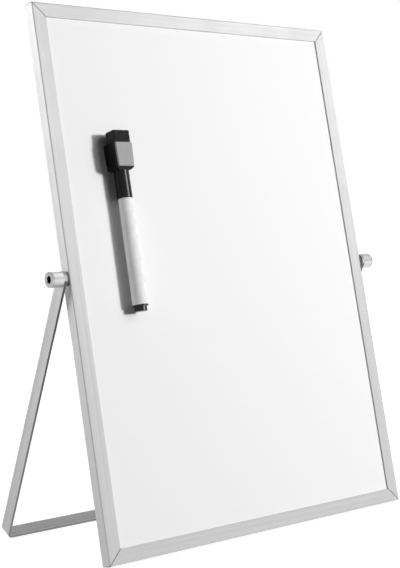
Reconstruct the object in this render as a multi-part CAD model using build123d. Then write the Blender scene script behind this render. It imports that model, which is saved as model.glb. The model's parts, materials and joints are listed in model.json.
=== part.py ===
from build123d import *
import os
from math import acos, atan2, cos, degrees, hypot, radians, sin

# A double-sided magnetic whiteboard in a mitred frame, which turns in a U-shaped
# stand, and a dry-erase marker that holds on to its front sheet by a magnet.
# Lengths are in millimetres and angles in degrees. The origin is on the table,
# in the middle of the footprint: X along the board's width, Y to the rear, Z up.
# The board and the marker are drawn in the board's own frame, whose origin is the
# middle of the board's front bottom edge, with X along its width, Y from its front
# face to its rear face and Z up its face.

# Board frame: one hollow section with a chamber for the keys and a slot for the panel
board_width = 254.0
board_height = 355.6
rail_face = 9.4
rail_depth = 8.6
rail_wall = 1.0
key_chamber = 4.0
rail_edge_radius = 0.8
lip_edge_radius = 0.3
mitre_gap = 0.15

# Keys that hold the mitred corners together
key_arm = 28.0
key_clearance = 0.1

# Panel: two coated steel sheets on a core, held in the frame's slot
sheet_thickness = 0.4
panel_face_clearance = 0.05
panel_edge_clearance = 0.4

# Pivot at the middle of the board's height: screw, spacer and nut plate on each side
screw_radius = 2.5
screw_tip_chamfer = 0.5
screw_head_radius = 5.15
screw_head_length = 8.4
screw_head_chamfer = 0.35
screw_head_fillet = 0.3
socket_across_flats = 4.5
socket_depth = 4.0
socket_mouth_chamfer = 0.25
shaft_clearance = 0.06
spacer_radius = 4.4
spacer_length = 2.1
strip_face_clearance = 0.05
nut_plate_height = 16.0
nut_plate_clearance = 0.1

# Stand: one flat strip bent into a U
strip_width = 10.0
strip_thickness = 1.9
strip_edge_radius = 0.35
bend_inner_radius = 2.2
foot_reach = 16.6

# How far the board leans back from upright
board_lean = 10.0

# Marker: where it hangs, measured from the board's left and top edges
marker_from_left = 46.2
marker_from_top = 85.9
marker_seat_gap = 0.05

# Marker cap: a head that widens upwards, over a round sleeve
head_top_width = 13.75
head_bottom_width = 12.5
head_depth = 12.9
head_height = 18.0
head_chamfer = 1.6
head_edge_radius = 0.5
head_corner_radius = 1.0
sleeve_radius = 5.0
sleeve_length = 17.9
sleeve_from_back = 6.4
cap_bore_radius = 4.1
cap_bore_depth = 14.5
nib_bore_radius = 3.2
nib_bore_depth = 10.0
plate_thickness = 1.8
plate_proud = 1.0
plate_rim = 0.15
plate_fit = 0.1
plate_corner_radius = 1.2
plate_edge_radius = 0.8
magnet_radius = 4.5
magnet_thickness = 2.0
magnet_fit = 0.05
magnet_below_top = 7.0

# Eraser pad on the cap's head
felt_width = 12.4
felt_depth = 9.0
felt_height = 7.8
felt_from_front = 0.3
felt_edge_radius = 0.6

# Marker barrel and what is inside it
barrel_length = 69.0
barrel_top_radius = 4.65
barrel_end_radius = 5.15
barrel_bore_radius = 3.3
barrel_rim_radius = 0.25
neck_length = 11.0
neck_wall = 0.7
slide_clearance = 0.08
cap_mouth_gap = 0.2
holder_radius = 2.4
holder_flange_length = 3.0
holder_length = 5.0
holder_taper = 0.9
nib_radius = 1.2
nib_length = 20.0
nib_reach = 3.5
inner_fit = 0.06
reservoir_radius = 3.1
reservoir_gap = 1.0
plug_flange_radius = 5.2
plug_flange_thickness = 1.0
plug_grip_radius = 4.0
plug_grip_length = 3.2
plug_insert_length = 5.0
plug_edge_chamfer = 0.3

LOW = (Align.MIN, Align.MIN, Align.MIN)
BASE = (Align.CENTER, Align.CENTER, Align.MIN)
ALONG_X = Rot(Y=90)
TO_REAR = Vector(0, 1, 0)

# Places that several pieces share, in the board's own frame
web_depth = rail_wall + key_chamber
slot_bottom = web_depth + rail_wall
chamber_depth = rail_depth - 2 * rail_wall
pivot_y = rail_depth / 2
pivot_z = board_height / 2
hole_radius = screw_radius + shaft_clearance

# The pivot's stack, outwards from the board's side
spacer_inner_x = board_width / 2
strip_inner_x = spacer_inner_x + spacer_length + strip_face_clearance
strip_outer_x = strip_inner_x + strip_thickness
screw_head_x = strip_outer_x + strip_face_clearance
nut_plate_outer_x = spacer_inner_x - rail_wall - nut_plate_clearance
nut_plate_thickness = key_chamber - 2 * nut_plate_clearance
nut_plate_inner_x = nut_plate_outer_x - nut_plate_thickness

# The panel's layers, from front to rear
panel_bottom = slot_bottom + panel_edge_clearance
panel_width = board_width - 2 * panel_bottom
panel_height = board_height - 2 * panel_bottom
front_sheet_y = rail_wall + panel_face_clearance
rear_sheet_y = rail_depth - front_sheet_y - sheet_thickness
core_y = front_sheet_y + sheet_thickness
core_thickness = rear_sheet_y - core_y

# The marker's places: its length runs down the board from the top of the eraser pad
marker_x = marker_from_left - board_width / 2
cap_back_y = front_sheet_y - marker_seat_gap
sleeve_y = cap_back_y - sleeve_from_back
head_front_y = cap_back_y - head_depth
head_top_z = board_height - marker_from_top - felt_height
head_bottom_z = head_top_z - head_height
mouth_z = head_bottom_z - sleeve_length
barrel_top_z = mouth_z - cap_mouth_gap
barrel_end_z = barrel_top_z - barrel_length
neck_radius = cap_bore_radius - slide_clearance
neck_top_z = barrel_top_z + neck_length
holder_bottom_z = neck_top_z - neck_wall - holder_flange_length
holder_top_z = neck_top_z + holder_length
nib_top_z = holder_top_z + nib_reach
reservoir_top_z = holder_bottom_z
reservoir_bottom_z = barrel_end_z + plug_insert_length + reservoir_gap


def stand_angle():
    """How far the stand's legs slope from upright, with both lower edges on the table."""
    lean = radians(board_lean)
    rise = (rail_depth - rail_edge_radius) * sin(lean) - rail_edge_radius * cos(lean)
    pivot_height = rise + rail_edge_radius - pivot_y * sin(lean) + pivot_z * cos(lean)
    down = pivot_z + foot_reach - strip_edge_radius
    forward = strip_width / 2 - strip_edge_radius
    tilt = atan2(forward, down) + acos((pivot_height - strip_edge_radius) / hypot(down, forward))
    return pivot_height, degrees(tilt)


def footprint(tilt):
    """The foremost and rearmost points, measured from the board's front bottom edge."""
    lean = radians(board_lean)
    slope = radians(tilt)
    front = rail_edge_radius * (cos(lean) + sin(lean) - 1)
    across = (strip_width / 2 - strip_edge_radius) * cos(slope)
    down = (pivot_z + foot_reach - strip_edge_radius) * sin(slope)
    pivot_back = pivot_y * cos(lean) + pivot_z * sin(lean)
    return front, pivot_back + across + down + strip_edge_radius, pivot_back


pivot_height, stand_tilt = stand_angle()
front_reach, rear_reach, pivot_reach = footprint(stand_tilt)
pivot_place_y = pivot_reach - (front_reach + rear_reach) / 2
PIVOT = Pos(0, pivot_place_y, pivot_height)
ON_BOARD = PIVOT * Rot(X=-board_lean) * Pos(0, -pivot_y, -pivot_z)
ON_STAND = PIVOT * Rot(X=stand_tilt)


def rail_profile():
    """The frame's section: x is inwards from the outer edge, y from front to rear."""
    low = (Align.MIN, Align.MIN)
    section = Rectangle(rail_face, rail_depth, align=low)
    outer = section.vertices().group_by(Axis.X)[0]
    section = fillet(outer, rail_edge_radius)
    lips = section.vertices().group_by(Axis.X)[-1]
    section = fillet(lips, lip_edge_radius)
    chamber = Pos(rail_wall, rail_wall) * Rectangle(key_chamber, chamber_depth, align=low)
    slot = Pos(slot_bottom, rail_wall) * Rectangle(rail_face, chamber_depth, align=low)
    return section - chamber - slot


def rail(corner, inwards, length):
    """One mitred rail, which starts at a corner of the board."""
    place = Plane(origin=corner, x_dir=inwards, z_dir=inwards.cross(TO_REAR))
    end_gap = mitre_gap * 2 ** 0.5
    mitred = Polygon(
        (0, end_gap),
        (rail_face, rail_face + end_gap),
        (rail_face, length - rail_face - end_gap),
        (0, length - end_gap),
        align=None,
    )
    between_mitres = extrude(Plane.XZ * mitred, 2 * rail_depth, both=True)
    return place * (extrude(rail_profile(), length) & between_mitres)


def side_rail(corner, inwards):
    """A side rail with the pivot screw's hole through its outer wall."""
    hole = Pos(corner.X, pivot_y, pivot_z) * ALONG_X * Cylinder(hole_radius, 2 * web_depth - rail_wall)
    return rail(corner, inwards, board_height) - hole


def frame_rails():
    left = -board_width / 2
    right = board_width / 2
    return {
        "frame_bottom": rail(Vector(right, 0, 0), Vector(0, 0, 1), board_width),
        "frame_top": rail(Vector(left, 0, board_height), Vector(0, 0, -1), board_width),
        "frame_left": side_rail(Vector(left, 0, 0), Vector(1, 0, 0)),
        "frame_right": side_rail(Vector(right, 0, board_height), Vector(-1, 0, 0)),
    }


def corner_key():
    """The L-shaped key in the frame's bottom left corner."""
    thick = chamber_depth - 2 * key_clearance
    wide = key_chamber - 2 * key_clearance
    inset = rail_wall + key_clearance
    across = Box(key_arm, thick, wide, align=LOW)
    upright = Box(wide, thick, key_arm, align=LOW)
    return Pos(inset - board_width / 2, inset, inset) * (across + upright)


def corner_keys():
    middle = Plane.XY.offset(board_height / 2)
    low_left = corner_key()
    low_right = mirror(low_left, about=Plane.YZ)
    return {
        "corner_key_bottom_left": low_left,
        "corner_key_bottom_right": low_right,
        "corner_key_top_left": mirror(low_left, about=middle),
        "corner_key_top_right": mirror(low_right, about=middle),
    }


def panel_layer(front_y, thickness):
    """One layer of the panel, whose front face is at front_y."""
    align = (Align.CENTER, Align.MIN, Align.MIN)
    return Pos(0, front_y, panel_bottom) * Box(panel_width, thickness, panel_height, align=align)


def panel_layers():
    return {
        "writing_sheet_front": panel_layer(front_sheet_y, sheet_thickness),
        "panel_core": panel_layer(core_y, core_thickness),
        "writing_sheet_rear": panel_layer(rear_sheet_y, sheet_thickness),
    }


def nut_plate():
    """The threaded plate in the right rail's chamber, behind the screw's hole."""
    align = (Align.MIN, Align.CENTER, Align.CENTER)
    deep = chamber_depth - 2 * nut_plate_clearance
    plate = Box(nut_plate_thickness, deep, nut_plate_height, align=align)
    bore = ALONG_X * Cylinder(hole_radius, 2 * nut_plate_thickness)
    return Pos(nut_plate_inner_x, pivot_y, pivot_z) * (plate - bore)


def pivot_spacer():
    """The ring between the right rail and the stand's leg."""
    ring = Cylinder(spacer_radius, spacer_length, align=BASE)
    bore = Cylinder(hole_radius, 3 * spacer_length)
    return Pos(spacer_inner_x, pivot_y, pivot_z) * ALONG_X * (ring - bore)


def hex_socket():
    """The hole for a hex key, from the top of the screw's head down."""
    hexagon = RegularPolygon(socket_across_flats / 2, 6, major_radius=False)
    mouth_radius = socket_across_flats / 2 + socket_mouth_chamfer
    mouth = Cone(0, mouth_radius, mouth_radius, align=(Align.CENTER, Align.CENTER, Align.MAX))
    return extrude(hexagon, -socket_depth) + mouth


def pivot_screw():
    """The right pivot screw: a plain round head with a hex socket, and its shank."""
    head = Cylinder(screw_head_radius, screw_head_length, align=BASE)
    rims = head.edges().filter_by(GeomType.CIRCLE).sort_by(Axis.Z)
    head = chamfer(rims[-1], screw_head_chamfer)
    rims = head.edges().filter_by(GeomType.CIRCLE).sort_by(Axis.Z)
    head = fillet(rims[0], screw_head_fillet)
    head -= Pos(0, 0, screw_head_length) * hex_socket()
    shank_length = screw_head_x - nut_plate_inner_x
    shank = Cylinder(screw_radius, shank_length, align=(Align.CENTER, Align.CENTER, Align.MAX))
    shank = chamfer(shank.edges().sort_by(Axis.Z)[0], screw_tip_chamfer)
    return Pos(screw_head_x, pivot_y, pivot_z) * ALONG_X * (head + shank)


def pivot_hardware():
    """Nut plate, spacer and screw of the right pivot, and their mirror images."""
    right = {"nut_plate": nut_plate(), "pivot_spacer": pivot_spacer(), "pivot_screw": pivot_screw()}
    both = {}
    for name, shape in right.items():
        both[name + "_right"] = shape
        both[name + "_left"] = mirror(shape, about=Plane.YZ)
    return both


def stand_bail():
    """The bent strip, with the pivot at its origin and its legs straight down."""
    leg_x = (strip_inner_x + strip_outer_x) / 2
    end_z = strip_width / 2
    foot_z = strip_thickness / 2 - pivot_z - foot_reach
    corners = [(-leg_x, end_z), (-leg_x, foot_z), (leg_x, foot_z), (leg_x, end_z)]
    middle_radius = bend_inner_radius + strip_thickness / 2
    path = Plane.XZ * FilletPolyline(*corners, radius=middle_radius)
    section_plane = Plane(origin=path @ 0, x_dir=(1, 0, 0), z_dir=path % 0)
    section = section_plane * RectangleRounded(strip_thickness, strip_width, strip_edge_radius)
    strip = sweep(section, path=path)
    round_ends = ALONG_X * Cylinder(strip_width / 2, 3 * leg_x)
    below = (Align.CENTER, Align.CENTER, Align.MAX)
    legs = Box(3 * leg_x, 2 * strip_width, 2 * board_height, align=below)
    holes = ALONG_X * Cylinder(hole_radius, 3 * leg_x)
    return (strip & (round_ends + legs)) - holes


def turned(radius, bottom, top):
    """A round rod on the marker's axis."""
    return Pos(marker_x, sleeve_y, bottom) * Cylinder(radius, top - bottom, align=BASE)


def tapered(bottom_radius, top_radius, bottom, top):
    """A tapering rod on the marker's axis."""
    return Pos(marker_x, sleeve_y, bottom) * Cone(bottom_radius, top_radius, top - bottom, align=BASE)


def head_outline(bottom, top, shrink):
    """The head's front outline between two heights, drawn in by shrink: it widens upwards."""
    widening = (head_top_width - head_bottom_width) / head_height
    low = bottom + shrink
    high = top - shrink
    half_low = (head_bottom_width + widening * low) / 2 - shrink
    half_high = (head_bottom_width + widening * high) / 2 - shrink
    corners = [(-half_low, low), (half_low, low), (half_high, high), (-half_high, high)]
    return Polygon(*corners, align=None)


def cap_head():
    """The cap's head: its lower edges run in to the sleeve."""
    outline = head_outline(0, head_height, 0)
    outline = fillet(outline.vertices().sort_by(Axis.Y)[-2:], head_corner_radius)
    head = extrude(Plane.XZ * outline, -head_depth)
    head = chamfer(head.faces().sort_by(Axis.Z)[0].edges(), head_chamfer)
    ends = head.faces().sort_by(Axis.Y)
    head = fillet(ends[0].edges() + ends[-1].edges(), head_edge_radius)
    return Pos(marker_x, head_front_y, head_bottom_z) * head


def plate_block(shrink, depth):
    """A block on the head's front, from the bottom of the plate's pocket forwards."""
    outline = head_outline(head_chamfer, head_height, plate_rim + shrink)
    outline = fillet(outline.vertices(), plate_corner_radius - shrink)
    pocket_y = head_front_y + plate_thickness - plate_proud
    return Pos(marker_x, pocket_y, head_bottom_z) * extrude(Plane.XZ * outline, depth)


def magnet_disc(spare, thickness):
    """A disc on the head's back, from its back face forwards."""
    place = Pos(marker_x, cap_back_y, head_top_z - magnet_below_top) * Rot(X=90)
    return place * Cylinder(magnet_radius + spare, thickness, align=BASE)


def marker_cap():
    cap = cap_head() + turned(sleeve_radius, mouth_z, head_bottom_z + head_chamfer)
    bore_top = mouth_z + cap_bore_depth
    cap -= turned(cap_bore_radius, mouth_z, bore_top)
    cap -= turned(nib_bore_radius, bore_top, bore_top + nib_bore_depth)
    cap -= plate_block(0, 2 * plate_thickness)
    return cap - magnet_disc(magnet_fit, magnet_thickness + magnet_fit)


def marker_cap_plate():
    plate = plate_block(plate_fit, plate_thickness)
    return fillet(plate.faces().sort_by(Axis.Y)[0].edges(), plate_edge_radius)


def marker_eraser():
    align = (Align.CENTER, Align.MIN, Align.MIN)
    pad = Box(felt_width, felt_depth, felt_height, align=align)
    pad = fillet(pad.faces().sort_by(Axis.Z)[-1].edges(), felt_edge_radius)
    return Pos(marker_x, head_front_y + felt_from_front, head_top_z) * pad


def marker_barrel():
    body = tapered(barrel_end_radius, barrel_top_radius, barrel_end_z, barrel_top_z)
    body = fillet(body.edges().filter_by(GeomType.CIRCLE), barrel_rim_radius)
    body += turned(neck_radius, barrel_top_z - neck_wall, neck_top_z)
    body -= turned(barrel_bore_radius, barrel_end_z, neck_top_z - neck_wall)
    return body - turned(holder_radius + inner_fit, neck_top_z - 2 * neck_wall, neck_top_z)


def marker_nib_holder():
    flange_radius = barrel_bore_radius - inner_fit
    flange_top = holder_bottom_z + holder_flange_length
    straight_top = neck_top_z + holder_length / 2
    holder = turned(flange_radius, holder_bottom_z, flange_top)
    holder += turned(holder_radius, flange_top, straight_top)
    holder += tapered(holder_radius, holder_radius - holder_taper, straight_top, holder_top_z)
    return holder - turned(nib_radius + inner_fit, holder_bottom_z, holder_top_z)


def marker_nib():
    straight_top = nib_top_z - nib_radius
    tip = Pos(marker_x, sleeve_y, straight_top) * Sphere(nib_radius)
    return turned(nib_radius, nib_top_z - nib_length, straight_top) + tip


def marker_reservoir():
    rod = turned(reservoir_radius, reservoir_bottom_z, reservoir_top_z)
    return rod - turned(nib_radius + inner_fit, nib_top_z - nib_length - inner_fit, reservoir_top_z)


def marker_end_plug():
    flange_bottom = barrel_end_z - plug_flange_thickness
    flange = turned(plug_flange_radius, flange_bottom, barrel_end_z)
    flange = chamfer(flange.edges().filter_by(GeomType.CIRCLE), plug_edge_chamfer)
    grip = turned(plug_grip_radius, flange_bottom - plug_grip_length, flange_bottom)
    grip = chamfer(grip.edges().sort_by(Axis.Z)[0], plug_edge_chamfer)
    insert_radius = barrel_bore_radius - inner_fit
    return flange + grip + turned(insert_radius, barrel_end_z, barrel_end_z + plug_insert_length)


def marker_pieces():
    return {
        "marker_cap": marker_cap(),
        "marker_cap_plate": marker_cap_plate(),
        "marker_cap_magnet": magnet_disc(0, magnet_thickness),
        "marker_eraser": marker_eraser(),
        "marker_barrel": marker_barrel(),
        "marker_nib_holder": marker_nib_holder(),
        "marker_nib": marker_nib(),
        "marker_reservoir": marker_reservoir(),
        "marker_end_plug": marker_end_plug(),
    }


def write_pieces(pieces, place):
    for name, shape in pieces.items():
        export_step(place * shape, "parts/" + name + ".step")


os.makedirs("parts", exist_ok=True)
write_pieces(frame_rails(), ON_BOARD)
write_pieces(corner_keys(), ON_BOARD)
write_pieces(panel_layers(), ON_BOARD)
write_pieces(pivot_hardware(), ON_BOARD)
write_pieces(marker_pieces(), ON_BOARD)
write_pieces({"stand_bail": stand_bail()}, ON_STAND)
print("pivot above the table", round(pivot_height, 3), "and at Y", round(pivot_place_y, 3))
print("stand's slope from upright", round(stand_tilt, 3))
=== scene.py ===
import json
import math
import random

import bmesh
import bpy
import mathutils.noise
from mathutils import Euler, Matrix, Vector


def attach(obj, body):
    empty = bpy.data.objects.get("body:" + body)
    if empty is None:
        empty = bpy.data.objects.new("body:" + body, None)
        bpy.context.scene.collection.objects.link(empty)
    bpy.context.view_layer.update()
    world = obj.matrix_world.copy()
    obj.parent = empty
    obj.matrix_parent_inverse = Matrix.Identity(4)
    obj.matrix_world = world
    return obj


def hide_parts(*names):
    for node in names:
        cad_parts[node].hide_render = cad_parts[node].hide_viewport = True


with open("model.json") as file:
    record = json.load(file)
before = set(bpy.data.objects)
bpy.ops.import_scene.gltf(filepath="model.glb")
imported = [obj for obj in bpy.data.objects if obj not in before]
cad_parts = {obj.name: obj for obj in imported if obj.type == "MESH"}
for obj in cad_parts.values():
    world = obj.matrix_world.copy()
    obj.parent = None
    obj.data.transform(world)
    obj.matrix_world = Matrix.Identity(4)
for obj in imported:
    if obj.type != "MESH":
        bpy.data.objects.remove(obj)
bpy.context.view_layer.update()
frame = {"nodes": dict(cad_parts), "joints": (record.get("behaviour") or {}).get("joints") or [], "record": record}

MM = 0.001
JOINTS = {joint["name"]: joint for joint in frame["joints"]}
MOUNTS = {mount["name"]: mount for mount in frame["record"]["mounts"]}
PIVOT = Vector(JOINTS["stand_turn"]["pos_m"])
BOARD_DOWN = Vector(JOINTS["barrel_pull"]["axis"])
LEG_DOWN = Vector(MOUNTS["foot_bar"]["axis"])
BOARD_LEAN = math.atan2(BOARD_DOWN.y, BOARD_DOWN.z) + math.pi
LEG_SLOPE = math.atan2(LEG_DOWN.y, -LEG_DOWN.z)

# Axes in line with the board or the legs: X goes across, Y from front to back, Z up
X, Y, Z = range(3)
BOARD_TURN = (-BOARD_LEAN, 0, 0)
LEG_TURN = (LEG_SLOPE, 0, 0)
NO_TURN = (0, 0, 0)

RAILS = ["frame_top", "frame_bottom", "frame_left", "frame_right"]
SCREWS = ["pivot_screw_left", "pivot_screw_right"]


# Camera, from the photograph's perspective: places are in metres, turns in degrees, and the
# lens and sensor in millimetres

CAMERA_PLACE = (-0.5322, -0.6806, 0.1953)
CAMERA_HEADING = -38.05
CAMERA_PITCH = -1.97
CAMERA_ROLL = -2.35
CAMERA_LEVEL = 90
CAMERA_LENS = 78.0
CAMERA_SENSOR = 36
CAMERA_NEAR = 0.05


def make_camera():
    turn = Matrix.Rotation(math.radians(CAMERA_HEADING), 4, "Z")
    tilt = Matrix.Rotation(math.radians(CAMERA_LEVEL + CAMERA_PITCH), 4, "X")
    roll = Matrix.Rotation(math.radians(CAMERA_ROLL), 4, "Z")
    camera = bpy.data.objects.new("camera", bpy.data.cameras.new("camera"))
    camera.data.lens = CAMERA_LENS
    camera.data.sensor_width = CAMERA_SENSOR
    camera.data.clip_start = CAMERA_NEAR
    camera.matrix_world = Matrix.Translation(CAMERA_PLACE) @ turn @ tilt @ roll
    bpy.context.scene.collection.objects.link(camera)
    bpy.context.scene.camera = camera


# Lamps

def direction(azimuth, elevation):
    """From the object towards a place: azimuth 0 is in front, 90 is to the right."""
    a, e = math.radians(azimuth), math.radians(elevation)
    return Vector((math.sin(a) * math.cos(e), -math.cos(a) * math.cos(e), math.sin(e)))


def link_pieces(lamp, nodes, state):
    pieces = bpy.data.collections.new(lamp.name + "_pieces")
    for name in nodes:
        pieces.objects.link(frame["nodes"][name])
    for linked in pieces.collection_objects:
        linked.light_linking.link_state = state
    lamp.light_linking.receiver_collection = pieces


def area_light(name, azimuth, elevation, distance, size, level, gloss=True, only=(), never=()):
    """A square light that gives a facing white surface at the pivot this level of brightness.

    It lights every piece, only some CAD nodes, or every piece but some CAD nodes.
    """
    away = direction(azimuth, elevation)
    light = bpy.data.lights.new(name, "AREA")
    light.shape = "SQUARE"
    light.size = size
    light.energy = level * math.pi ** 2 * distance ** 2
    lamp = bpy.data.objects.new(name, light)
    lamp.location = PIVOT + away * distance
    lamp.rotation_euler = away.to_track_quat("Z", "Y").to_euler()
    lamp.visible_camera = False
    lamp.visible_glossy = gloss
    bpy.context.scene.collection.objects.link(lamp)
    if only:
        link_pieces(lamp, only, "INCLUDE")
    elif never:
        link_pieces(lamp, never, "EXCLUDE")


def make_lamps():
    """Light on the whole object, what its metal and plastic mirror, and small pieces' own light."""
    area_light("key", azimuth=34.4, elevation=11.2, distance=4.0, size=0.45, level=0.775,
               gloss=False)
    area_light("soft", azimuth=29, elevation=26, distance=1.0, size=0.6, level=0.34,
               gloss=False)
    metal = RAILS + ["stand_bail"]
    area_light("top_panel", azimuth=40, elevation=36, distance=1.6, size=0.5, level=0.04,
               only=metal)
    area_light("right_panel", azimuth=46, elevation=24, distance=1.6, size=0.5, level=0.075,
               only=metal)
    area_light("left_rear", azimuth=-118, elevation=32, distance=0.75, size=0.35, level=0.2,
               never=SCREWS)
    area_light("left_broad", azimuth=-135, elevation=20, distance=1.2, size=0.8, level=0.26,
               never=SCREWS)
    area_light("rear", azimuth=160, elevation=18, distance=1.8, size=0.9, level=0.85)
    area_light("barrel_fill", azimuth=-72, elevation=5, distance=1.0, size=0.5, level=0.17,
               gloss=False, only=["marker_barrel"])
    area_light("cap_glint", azimuth=31, elevation=21, distance=2.0, size=0.8, level=0.9,
               only=["marker_cap", "marker_end_plug"])
    area_light("screw_left_top", azimuth=66, elevation=50, distance=1.2, size=1.6, level=0.6,
               only=["pivot_screw_left"])
    area_light("screw_left_rear", azimuth=118, elevation=44, distance=1.2, size=1.2, level=0.3,
               only=["pivot_screw_left"])
    area_light("screw_right_top", azimuth=66, elevation=50, distance=1.2, size=1.6, level=0.34,
               only=["pivot_screw_right"])


# Steps that material nodes are made of

# Most values of a noise lie between these two.
NOISE_LOW = 0.3
NOISE_HIGH = 0.7


def maths(tree, operation, *values):
    """One step of arithmetic on sockets and numbers."""
    node = tree.nodes.new("ShaderNodeMath")
    node.operation = operation
    for socket, value in zip(node.inputs, values):
        if isinstance(value, (int, float)):
            socket.default_value = value
        else:
            tree.links.new(value, socket)
    return node.outputs[0]


def apart(tree, first, second):
    """How far two values are apart."""
    return maths(tree, "ABSOLUTE", maths(tree, "SUBTRACT", first, second))


def hypotenuse(tree, first, second):
    squares = [maths(tree, "POWER", side, 2) for side in (first, second)]
    return maths(tree, "SQRT", maths(tree, "ADD", *squares))


def ranged(tree, value, low, high, start=NOISE_LOW, end=NOISE_HIGH):
    """A value from start to end, stretched to run from low to high."""
    node = tree.nodes.new("ShaderNodeMapRange")
    node.inputs["From Min"].default_value = start
    node.inputs["From Max"].default_value = end
    node.inputs["To Min"].default_value = low
    node.inputs["To Max"].default_value = high
    tree.links.new(value, node.inputs["Value"])
    return node.outputs["Result"]


def within(tree, value, inner, outer):
    """1 up to inner, falling to 0 at outer."""
    return ranged(tree, value, 1, 0, start=inner, end=outer)


def beyond(tree, value, start, end):
    """0 up to start, rising to 1 at end."""
    return ranged(tree, value, 0, 1, start=start, end=end)


def mapped(tree, origin, turn, unit):
    """The place on the object, from an origin along turned axes, in these units."""
    coords = tree.nodes.new("ShaderNodeTexCoord")
    mapping = tree.nodes.new("ShaderNodeMapping")
    mapping.vector_type = "TEXTURE"
    mapping.inputs["Location"].default_value = origin
    mapping.inputs["Rotation"].default_value = turn
    mapping.inputs["Scale"].default_value = unit
    tree.links.new(coords.outputs["Object"], mapping.inputs["Vector"])
    return mapping.outputs["Vector"]


def place_in(tree, turn):
    """X, Y and Z on the object, in millimetres from the pivot along turned axes."""
    parts = tree.nodes.new("ShaderNodeSeparateXYZ")
    tree.links.new(mapped(tree, PIVOT, turn, (MM, MM, MM)), parts.inputs["Vector"])
    return parts.outputs["X"], parts.outputs["Y"], parts.outputs["Z"]


def noise(tree, size, turn=NO_TURN, detail=2, place=(0, 0, 0)):
    """Noise whose features have this size in metres along the turned axes."""
    texture = tree.nodes.new("ShaderNodeTexNoise")
    texture.inputs["Scale"].default_value = 1
    texture.inputs["Detail"].default_value = detail
    tree.links.new(mapped(tree, place, turn, size), texture.inputs["Vector"])
    return texture.outputs["Fac"]


def blended(tree, factor, first, second):
    """Two colours mixed by a factor."""
    node = tree.nodes.new("ShaderNodeMix")
    node.data_type = "RGBA"
    node.inputs["A"].default_value = (*first, 1)
    node.inputs["B"].default_value = (*second, 1)
    tree.links.new(factor, node.inputs["Factor"])
    return node.outputs["Result"]


def add_bump(tree, height, depth, strength, below=None):
    """Bump of this depth in metres, on top of another bump."""
    node = tree.nodes.new("ShaderNodeBump")
    node.inputs["Strength"].default_value = strength
    node.inputs["Distance"].default_value = depth
    tree.links.new(height, node.inputs["Height"])
    if below is not None:
        tree.links.new(below, node.inputs["Normal"])
    return node.outputs["Normal"]


def new_material(name, colour, roughness, metallic=0.0, specular=0.5):
    material = bpy.data.materials.new(name)
    material.use_nodes = True
    shader = material.node_tree.nodes["Principled BSDF"]
    shader.inputs["Base Color"].default_value = (*colour, 1)
    shader.inputs["Roughness"].default_value = roughness
    shader.inputs["Metallic"].default_value = metallic
    shader.inputs["Specular IOR Level"].default_value = specular
    return material, material.node_tree, shader


# Background: white where the camera sees it, with levels of its own in reflections. Each pair
# of levels runs from the first to the second of the heights or distances after it.

WHITE = (1, 1, 1, 1)

WORLD_AMBIENT = 0.008
WORLD_SEEN = 1.0
WORLD_MIRRORED = (0.8, 0.4)
WORLD_MIRRORED_HEIGHTS = (0.3, 0.8)

FLOOR_HALF_SIDE = 8
FLOOR_DROP = 0.0002
FLOOR_COLOUR = (0.25,) * 3
FLOOR_SEEN = (0.86, 0.99)
FLOOR_SEEN_DISTANCES = (0.25, 1.5)
FLOOR_MIRRORED = (1.0, 1.35)
FLOOR_MIRRORED_DISTANCES = (0.25, 0.9)


def seen_and_mirrored(tree, seen, mirrored):
    """A strength for rays of the camera and through glass, and another for reflections."""
    path = tree.nodes.new("ShaderNodeLightPath")
    through = path.outputs["Is Transmission Ray"]
    direct = maths(tree, "MAXIMUM", path.outputs["Is Camera Ray"], through)
    direct = maths(tree, "MULTIPLY", direct, seen)
    glossy = maths(tree, "MULTIPLY", path.outputs["Is Glossy Ray"], mirrored)
    return maths(tree, "MAXIMUM", direct, glossy)


def make_world():
    """White all round, greyer in reflections, and hardly any light on the object."""
    world = bpy.data.worlds.new("studio")
    world.use_nodes = True
    tree = world.node_tree
    background = tree.nodes["Background"]
    background.inputs["Color"].default_value = WHITE
    coords = tree.nodes.new("ShaderNodeTexCoord")
    height = tree.nodes.new("ShaderNodeSeparateXYZ")
    tree.links.new(coords.outputs["Generated"], height.inputs["Vector"])
    mirrored = ranged(tree, height.outputs["Z"], *WORLD_MIRRORED, *WORLD_MIRRORED_HEIGHTS)
    shown = seen_and_mirrored(tree, WORLD_SEEN, mirrored)
    strength = maths(tree, "MAXIMUM", shown, WORLD_AMBIENT)
    tree.links.new(strength, background.inputs["Strength"])
    bpy.context.scene.world = world


def make_floor():
    """A plain pale floor that shows white and keeps the object's shadow."""
    mesh = bpy.data.meshes.new("floor")
    bm = bmesh.new()
    bmesh.ops.create_grid(bm, x_segments=1, y_segments=1, size=FLOOR_HALF_SIDE)
    bm.to_mesh(mesh)
    bm.free()
    floor = bpy.data.objects.new("floor", mesh)
    floor.location.z = -FLOOR_DROP
    bpy.context.scene.collection.objects.link(floor)
    material, tree, shader = new_material("floor_white", FLOOR_COLOUR, roughness=0.9,
                                          specular=0.1)
    shader.inputs["Emission Color"].default_value = WHITE
    coords = tree.nodes.new("ShaderNodeTexCoord")
    length = tree.nodes.new("ShaderNodeVectorMath")
    length.operation = "LENGTH"
    tree.links.new(coords.outputs["Object"], length.inputs[0])
    away = length.outputs["Value"]
    seen = ranged(tree, away, *FLOOR_SEEN, *FLOOR_SEEN_DISTANCES)
    mirrored = ranged(tree, away, *FLOOR_MIRRORED, *FLOOR_MIRRORED_DISTANCES)
    strength = seen_and_mirrored(tree, seen, mirrored)
    tree.links.new(strength, shader.inputs["Emission Strength"])
    mesh.materials.append(material)


# Materials: each is worked out from the place on the object. Sizes of features are in metres.
# A bump is its depth in metres and its strength, and tones are the darkest and lightest share
# of the colour. Wear is the least and most that is added to the roughness of metal and enamel,
# or that the roughness of plastic is multiplied by.

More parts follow.
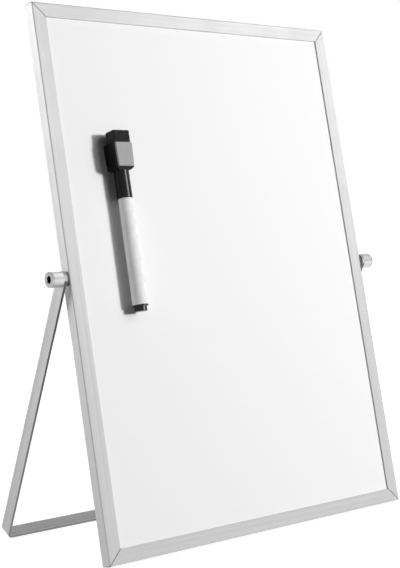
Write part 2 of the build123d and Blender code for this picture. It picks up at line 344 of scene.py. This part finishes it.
ALUMINIUM = (0.585, 0.585, 0.59)
STRIP_STEEL = (0.475, 0.475, 0.48)
SCREW_STEEL = (0.58, 0.58, 0.585)
CAST_ALLOY = (0.5,) * 3
ZINC = (0.55, 0.56, 0.58)
NICKEL = (0.6,) * 3
ENAMEL_WHITE = (0.93,) * 3
BARREL_WHITE = (0.8,) * 3
PLATE_GREY = (0.38, 0.38, 0.385)
NYLON_BLACK = (0.13,) * 3
CAP_BLACK = (0.01,) * 3
PLUG_BLACK = (0.008,) * 3
FELT_BLACK = (0.02,) * 3
INK_BLACK = (0.05, 0.05, 0.055)
FIBREBOARD = (0.62, 0.5, 0.36)

METAL_LINE_LENGTH = 60 * MM
METAL_LINE_BUMP = (0.004 * MM, 0.5)
METAL_LINES_PER_STREAK = 8
METAL_STREAK_LENGTH = 200 * MM
METAL_STREAK_PLACE = (0.013, 0.007, 0.003)
METAL_CLOUD = 20 * MM
METAL_WEAR = (-0.04, 0.05)

PLASTIC_SKIN = 0.15 * MM
PLASTIC_SKIN_BUMP = (0.02 * MM, 0.25)
PLASTIC_WAVE = 6 * MM
PLASTIC_WAVE_BUMP = (0.05 * MM, 0.08)
PLASTIC_TONES = (0.97, 1.03)
PLASTIC_RUB = (3 * MM, 3 * MM, 9 * MM)
PLASTIC_WEAR = (0.8, 1.3)

ENAMEL_PEEL = 1.2 * MM
ENAMEL_PEEL_BUMP = (0.004 * MM, 0.3)
ENAMEL_WARP = 120 * MM
ENAMEL_WARP_BUMP = (0.1 * MM, 0.2)
ENAMEL_WIPE = (50 * MM, 50 * MM, 6 * MM)
ENAMEL_TONES = (0.994, 1)
ENAMEL_WEAR = (-0.03, 0.05)

STRAND_STRETCH = 6
STRAND_BUMP = 0.8
STRANDS_PER_CLUMP = 5
CLUMP_TONES = (0.6, 1.5)
FIBROUS_SHEEN = 0.3
FIBROUS_SHEEN_ROUGHNESS = 0.5


def shade(colour, amount):
    return tuple(min(1.0, part * amount) for part in colour)


def vary_colour(tree, shader, pattern, colour, low, high):
    """The base colour at low to high times its brightness, as a noise goes."""
    mixed = blended(tree, ranged(tree, pattern, 0, 1), shade(colour, low), shade(colour, high))
    tree.links.new(mixed, shader.inputs["Base Color"])


def vary_roughness(tree, shader, pattern, low, high):
    tree.links.new(ranged(tree, pattern, low, high), shader.inputs["Roughness"])


def shaded_where(material, mask, amount):
    """The material's colour times this amount where the mask is 1."""
    tree = material.node_tree
    colour = tree.nodes["Principled BSDF"].inputs["Base Color"]
    source = colour.links[0].from_socket
    node = tree.nodes.new("ShaderNodeVectorMath")
    node.operation = "SCALE"
    tree.links.new(source, node.inputs[0])
    tree.links.new(ranged(tree, mask, 1, amount, start=0, end=1), node.inputs["Scale"])
    tree.links.new(node.outputs["Vector"], colour)


def stretched(width, length, long_axes):
    return [length if axis in long_axes else width for axis in range(3)]


def brushed_metal(name, colour, roughness, turn, long_axes, line=0.12 * MM, metallic=1.0,
                  streak=0.05):
    """Metal with fine drawn lines, fainter streaks beside them and clouds of slight wear."""
    material, tree, shader = new_material(name, colour, roughness, metallic=metallic)
    lines = noise(tree, stretched(line, METAL_LINE_LENGTH, long_axes), turn, detail=3)
    streak_size = stretched(METAL_LINES_PER_STREAK * line, METAL_STREAK_LENGTH, long_axes)
    streaks = noise(tree, streak_size, turn, detail=3, place=METAL_STREAK_PLACE)
    clouds = noise(tree, (METAL_CLOUD,) * 3, detail=4)
    vary_colour(tree, shader, streaks, colour, 1 - streak, 1 + streak)
    vary_roughness(tree, shader, clouds, *(roughness + change for change in METAL_WEAR))
    bump = add_bump(tree, lines, *METAL_LINE_BUMP)
    tree.links.new(bump, shader.inputs["Normal"])
    return material


def moulded_plastic(name, colour, roughness, specular=0.5):
    """Plastic with a fine moulded skin, slight unevenness and rubbed patches."""
    material, tree, shader = new_material(name, colour, roughness, specular=specular)
    skin = noise(tree, (PLASTIC_SKIN,) * 3, detail=3)
    waves = noise(tree, (PLASTIC_WAVE,) * 3, detail=1)
    rubbed = noise(tree, PLASTIC_RUB, detail=4)
    vary_colour(tree, shader, waves, colour, *PLASTIC_TONES)
    vary_roughness(tree, shader, rubbed, *(roughness * change for change in PLASTIC_WEAR))
    bump = add_bump(tree, waves, *PLASTIC_WAVE_BUMP)
    bump = add_bump(tree, skin, *PLASTIC_SKIN_BUMP, below=bump)
    tree.links.new(bump, shader.inputs["Normal"])
    return material


def coated_steel(name, colour, roughness):
    """Enamel on sheet steel: a fine orange peel, a slight warp and faint wipe marks."""
    material, tree, shader = new_material(name, colour, roughness, specular=0.28)
    peel = noise(tree, (ENAMEL_PEEL,) * 3, detail=2)
    warp = noise(tree, (ENAMEL_WARP,) * 3, detail=1)
    wipes = noise(tree, ENAMEL_WIPE, BOARD_TURN, detail=5)
    vary_colour(tree, shader, wipes, colour, *ENAMEL_TONES)
    vary_roughness(tree, shader, wipes, *(roughness + change for change in ENAMEL_WEAR))
    bump = add_bump(tree, warp, *ENAMEL_WARP_BUMP)
    bump = add_bump(tree, peel, *ENAMEL_PEEL_BUMP, below=bump)
    tree.links.new(bump, shader.inputs["Normal"])
    return material


def fibrous(name, colour, strand):
    """Felt, bonded fibre or fibreboard, with strands of this thickness."""
    material, tree, shader = new_material(name, colour, roughness=0.95, specular=0.15)
    shader.inputs["Sheen Weight"].default_value = FIBROUS_SHEEN
    shader.inputs["Sheen Roughness"].default_value = FIBROUS_SHEEN_ROUGHNESS
    strands = noise(tree, (strand, strand, strand * STRAND_STRETCH), detail=5)
    clumps = noise(tree, (strand * STRANDS_PER_CLUMP,) * 3, detail=3)
    vary_colour(tree, shader, clumps, colour, *CLUMP_TONES)
    bump = add_bump(tree, strands, strand, STRAND_BUMP)
    tree.links.new(bump, shader.inputs["Normal"])
    return material


# Painted shade and painted highlights on metal: darker and brighter lines and faces, where light
# and shade fall on corners, gaps and edges. Each pair is where one starts to change and where it
# is done, in millimetres from its middle, or inwards from the piece's edge or end. Fades are by
# height in millimetres from the pivot. A shade is what the colour is multiplied by.

ARRIS_LINE = (0.35, 0.75)
ARRIS_PAINTED_SHADE = 0.88
ARRIS_FADES_ABOVE = -60
MITRE_LINE = (0.12, 0.42)
MITRE_PAINTED_SHADE = 0.3
LIP_EDGE = (0.25, 0.1)

CUT_EDGE = (0.15, 0.02)
CUT_EDGE_PAINTED_SHADE = 0.28
CUT_EDGE_FADE = (-180, -60)
CUT_EDGE_LEAST = 0.6
RIDGE_INSET = 0.5
RIDGE_LINE = (0.1, 0.5)
RIDGE_PAINTED_HIGHLIGHT = 1.2

SCREW_FACE = (0.15, 0.05)
SCREW_FACE_SHADE = 0.7
SCREW_RING_INSET = 0.75
SCREW_RING_LINE = (0.1, 0.4)
SCREW_RING_PAINTED_SHADE = 0.42
SCREW_HEAD = (5, 4.5)
SOCKET_RADIUS = (2.35, 2.75)
SOCKET_DEPTH = (1.6, 0.5)
SOCKET_PAINTED_SHADE = 0.02


def extent(node, turn):
    """Lowest and highest corner of a CAD node along turned axes, from the pivot."""
    back = Euler(turn).to_matrix().inverted()
    piece = frame["nodes"][node]
    points = [back @ (piece.matrix_world @ vertex.co - PIVOT) for vertex in piece.data.vertices]
    low = Vector([min(point[axis] for point in points) for axis in range(3)])
    high = Vector([max(point[axis] for point in points) for axis in range(3)])
    return low, high


def rail_metal(name, long_axis, lip_painted_shade):
    """Drawn aluminium rail: painted shade along its outer arris, in the mitres and under the lip."""
    low, high = extent("frame_left", BOARD_TURN)
    half_width, half_height = -low.x / MM, high.z / MM
    rail_face, front = (high.x - low.x) / MM, low.y / MM
    material = brushed_metal(name, ALUMINIUM, roughness=0.42, turn=BOARD_TURN,
                             long_axes=[long_axis], metallic=0.5, streak=0.07)
    tree = material.node_tree
    x, y, z = place_in(tree, BOARD_TURN)
    from_side = maths(tree, "SUBTRACT", half_width, maths(tree, "ABSOLUTE", x))
    from_end = maths(tree, "SUBTRACT", half_height, maths(tree, "ABSOLUTE", z))
    from_rim = from_side if long_axis == Z else from_end
    if long_axis == Z:
        corner = hypotenuse(tree, from_rim, maths(tree, "SUBTRACT", y, front))
        # Painted shade: a dark line along the outer arris, fading out towards the top.
        arris = within(tree, corner, *ARRIS_LINE)
        fade = within(tree, z, ARRIS_FADES_ABOVE, half_height)
        shaded_where(material, maths(tree, "MULTIPLY", arris, fade), ARRIS_PAINTED_SHADE)
    # Painted shade in the mitre gaps between the rails.
    mitre = within(tree, apart(tree, from_side, from_end), *MITRE_LINE)
    shaded_where(material, mitre, MITRE_PAINTED_SHADE)
    # Painted shade under the lip, where it meets the sheet; its depth differs from rail to rail.
    lip = beyond(tree, from_rim, *(rail_face - inset for inset in LIP_EDGE))
    shaded_where(material, lip, lip_painted_shade)
    return material


def strip_steel():
    """Sheared steel strip: painted highlight lines along its faces and painted shade on its edges."""
    _, high = extent("stand_bail", LEG_TURN)
    half_width = high.y / MM
    material = brushed_metal("strip_steel", STRIP_STEEL, roughness=0.4, turn=LEG_TURN,
                             long_axes=[X, Z], metallic=0.6, streak=0.12)
    tree = material.node_tree
    _, y, z = place_in(tree, LEG_TURN)
    across = maths(tree, "ABSOLUTE", y)
    # Painted shade on the edge faces, strongest towards the pivot.
    edge = beyond(tree, across, *(half_width - inset for inset in CUT_EDGE))
    fade = ranged(tree, z, CUT_EDGE_LEAST, 1, *CUT_EDGE_FADE)
    shaded_where(material, maths(tree, "MULTIPLY", edge, fade), CUT_EDGE_PAINTED_SHADE)
    # Painted highlight: a bright line along each face, just inside the edge.
    ridge = within(tree, apart(tree, across, half_width - RIDGE_INSET), *RIDGE_LINE)
    shaded_where(material, ridge, RIDGE_PAINTED_HIGHLIGHT)
    return material


def screw_steel():
    """Turned steel screw: a darker end face, a ring of painted shade and painted shade in its socket."""
    _, high = extent("pivot_screw_right", NO_TURN)
    end = high.x / MM
    material = brushed_metal("polished_screw", SCREW_STEEL, roughness=0.34, turn=NO_TURN,
                             long_axes=[Y, Z], line=0.1 * MM)
    tree = material.node_tree
    x, y, z = place_in(tree, NO_TURN)
    outward = maths(tree, "ABSOLUTE", x)
    face = beyond(tree, outward, *(end - inset for inset in SCREW_FACE))
    shaded_where(material, face, SCREW_FACE_SHADE)
    # Painted shade: a dark ring at the chamfer near the end.
    ring = within(tree, apart(tree, outward, end - SCREW_RING_INSET), *SCREW_RING_LINE)
    shaded_where(material, ring, SCREW_RING_PAINTED_SHADE)
    # Painted shade deep in the hex socket.
    inside = within(tree, hypotenuse(tree, y, z), *SOCKET_RADIUS)
    deep = within(tree, outward, *(end - inset for inset in SOCKET_DEPTH))
    head = beyond(tree, outward, *(end - inset for inset in SCREW_HEAD))
    socket = maths(tree, "MULTIPLY", maths(tree, "MULTIPLY", inside, deep), head)
    shaded_where(material, socket, SOCKET_PAINTED_SHADE)
    return material


# The eraser's felt, which takes the place of its plain CAD block. FELT_FULLER and FIBRE_LENGTHS
# are in millimetres, and FELT_NAP is the depths and sizes of its noises in metres. A fibre's
# arch and bend are shares of its length, and its taper is a share of its radius. Where the
# surface's normal points further down than the last number of each group, the felt has no nap
# that stands out, and no fibres.

FELT_CUTS = 31
FELT_FULLER = 0.05
FELT_ROUNDING = 0.6 * MM
FELT_LAYER = 1.9 * MM
FELT_LAYER_WANDER = 0.15
FELT_LAYER_WANDER_SIZE = 2.5 * MM
FELT_GROOVE_DEPTH = 0.09 * MM
FELT_GROOVE_SHARPNESS = 3
FELT_NAP = [(0.1 * MM, 1.6 * MM), (0.06 * MM, 0.45 * MM)]
FELT_FLAT_BELOW = -0.5

FIBRE_SEED = 4
FIBRE_COUNT = 420
FIBRE_LENGTHS = (0.5, 1.3)
FIBRE_RADIUS = 0.035 * MM
FIBRE_SIDES = 3
FIBRE_STEPS = 3
FIBRE_STEEPEST = 0.25
FIBRE_ARCH = 0.22
FIBRE_BEND = 0.12
FIBRE_BEND_TURN = 3
FIBRE_TAPER = 0.6
FIBRE_SINK = 0.03 * MM
FIBRES_NONE_BELOW = -0.3


def noise_at(point, size):
    return mathutils.noise.noise(point / size)


def felt_surface(point, half):
    """A place on a unit cube, moved out to a block with round corners, layers and a nap."""
    full = Vector(point[axis] * half[axis] for axis in range(3))
    core = Vector(max(FELT_ROUNDING - half[axis], min(half[axis] - FELT_ROUNDING, full[axis]))
                  for axis in range(3))
    out = (full - core).normalized()
    wander = FELT_LAYER_WANDER * noise_at(full, FELT_LAYER_WANDER_SIZE)
    layer = abs(math.sin(math.pi * (full.z / FELT_LAYER + wander)))
    groove = FELT_GROOVE_DEPTH * (1 - layer) ** FELT_GROOVE_SHARPNESS * (1 - abs(out.z))
    nap = sum(depth * noise_at(full, size) for depth, size in FELT_NAP)
    if out.z < FELT_FLAT_BELOW:
        nap = min(nap, 0)
    return core + out * (FELT_ROUNDING + nap - groove)


def add_fibre(bm, root, out, along, length):
    """A short loose fibre: a thin three-sided strand that arches off the surface."""
    side = out.cross(along).normalized()
    turns = [2 * math.pi * corner / FIBRE_SIDES for corner in range(FIBRE_SIDES)]
    rings = []
    for step in range(FIBRE_STEPS + 1):
        share = step / FIBRE_STEPS
        rise = FIBRE_ARCH * length * math.sin(math.pi * share) - FIBRE_SINK
        sway = FIBRE_BEND * length * math.sin(FIBRE_BEND_TURN * share)
        middle = root + along * (length * share) + out * rise + side * sway
        thick = FIBRE_RADIUS * (1 - FIBRE_TAPER * share)
        ring = [middle + (out * math.cos(turn) + side * math.sin(turn)) * thick for turn in turns]
        rings.append([bm.verts.new(place) for place in ring])
    for lower, upper in zip(rings, rings[1:]):
        for corner in range(FIBRE_SIDES):
            after = (corner + 1) % FIBRE_SIDES
            bm.faces.new((lower[corner], lower[after], upper[after], upper[corner]))
    bm.faces.new(rings[0][::-1])
    bm.faces.new(rings[-1])


def add_fibres(bm):
    """Loose fibres all over the felt, apart from its underside."""
    roots = [(vertex.co.copy(), vertex.normal.copy())
             for vertex in bm.verts if vertex.normal.z > FIBRES_NONE_BELOW]
    rng = random.Random(FIBRE_SEED)
    for _ in range(FIBRE_COUNT):
        root, out = rng.choice(roots)
        heading = Vector((rng.uniform(-1, 1), rng.uniform(-1, 1),
                          rng.uniform(-FIBRE_STEEPEST, FIBRE_STEEPEST)))
        along = (heading - out * heading.dot(out)).normalized()
        add_fibre(bm, root, out, along, rng.uniform(*FIBRE_LENGTHS) * MM)


def make_felt(material):
    """Pressed felt, a little fuller than the CAD block it replaces, but not towards the cap."""
    low, high = extent("marker_eraser", BOARD_TURN)
    low = low - Vector((FELT_FULLER, FELT_FULLER, 0)) * MM
    high = high + Vector((FELT_FULLER, FELT_FULLER, FELT_FULLER)) * MM
    centre, half = (low + high) / 2, (high - low) / 2
    bm = bmesh.new()
    bmesh.ops.create_cube(bm, size=2)
    bmesh.ops.subdivide_edges(bm, edges=bm.edges[:], cuts=FELT_CUTS, use_grid_fill=True)
    for vertex in bm.verts:
        vertex.co = felt_surface(vertex.co, half)
    bm.normal_update()
    add_fibres(bm)
    for face in bm.faces:
        face.smooth = True
    mesh = bpy.data.meshes.new("eraser_felt")
    bm.to_mesh(mesh)
    bm.free()
    mesh.materials.append(material)
    felt = bpy.data.objects.new("eraser_felt", mesh)
    turn = Euler(BOARD_TURN).to_matrix().to_4x4()
    felt.matrix_world = Matrix.Translation(PIVOT) @ turn @ Matrix.Translation(centre)
    bpy.context.scene.collection.objects.link(felt)
    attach(felt, "cap")
    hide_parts("marker_eraser")


# Every CAD node that shows, with its material

def dress(nodes, material):
    for name in nodes:
        mesh = frame["nodes"][name].data
        mesh.materials.clear()
        mesh.materials.append(material)


def dress_board():
    # The four rails are copies of one metal, each with painted shade of its own depth under the lip.
    dress(["frame_top"], rail_metal("aluminium_top", X, lip_painted_shade=0.38))
    dress(["frame_bottom"], rail_metal("aluminium_bottom", X, lip_painted_shade=0.9))
    dress(["frame_left"], rail_metal("aluminium_left", Z, lip_painted_shade=0.9))
    dress(["frame_right"], rail_metal("aluminium_right", Z, lip_painted_shade=1))
    dress(["writing_sheet_front", "writing_sheet_rear"],
          coated_steel("white_enamel", ENAMEL_WHITE, roughness=0.42))
    dress(["panel_core"], fibrous("fibreboard", FIBREBOARD, strand=0.1 * MM))
    dress([name for name in frame["nodes"] if name.startswith("corner_key")],
          brushed_metal("cast_key", CAST_ALLOY, roughness=0.5, turn=BOARD_TURN, long_axes=[Z],
                        line=0.4 * MM))
    dress(["nut_plate_left", "nut_plate_right"],
          brushed_metal("zinc_plate", ZINC, roughness=0.4, turn=BOARD_TURN, long_axes=[Z]))


def dress_stand():
    dress(["pivot_spacer_left", "pivot_spacer_right"],
          moulded_plastic("black_nylon", NYLON_BLACK, roughness=0.5))
    dress(SCREWS, screw_steel())
    dress(["stand_bail"], strip_steel())


def dress_marker():
    dress(["marker_cap"],
          moulded_plastic("cap_black", CAP_BLACK, roughness=0.13, specular=0.15))
    dress(["marker_cap_plate"], moulded_plastic("plate_grey", PLATE_GREY, roughness=0.45))
    dress(["marker_cap_magnet"],
          brushed_metal("nickel", NICKEL, roughness=0.25, turn=BOARD_TURN, long_axes=[Z]))
    dress(["marker_barrel"], moulded_plastic("barrel_white", BARREL_WHITE, roughness=0.25))
    dress(["marker_end_plug", "marker_nib_holder"],
          moulded_plastic("plug_black", PLUG_BLACK, roughness=0.22, specular=0.3))
    make_felt(fibrous("felt_black", FELT_BLACK, strand=0.25 * MM))
    dress(["marker_nib", "marker_reservoir"],
          fibrous("bonded_fibre", INK_BLACK, strand=0.1 * MM))


bpy.context.scene.view_settings.view_transform = "Standard"
make_camera()
make_world()
make_floor()
make_lamps()
dress_board()
dress_stand()
dress_marker()
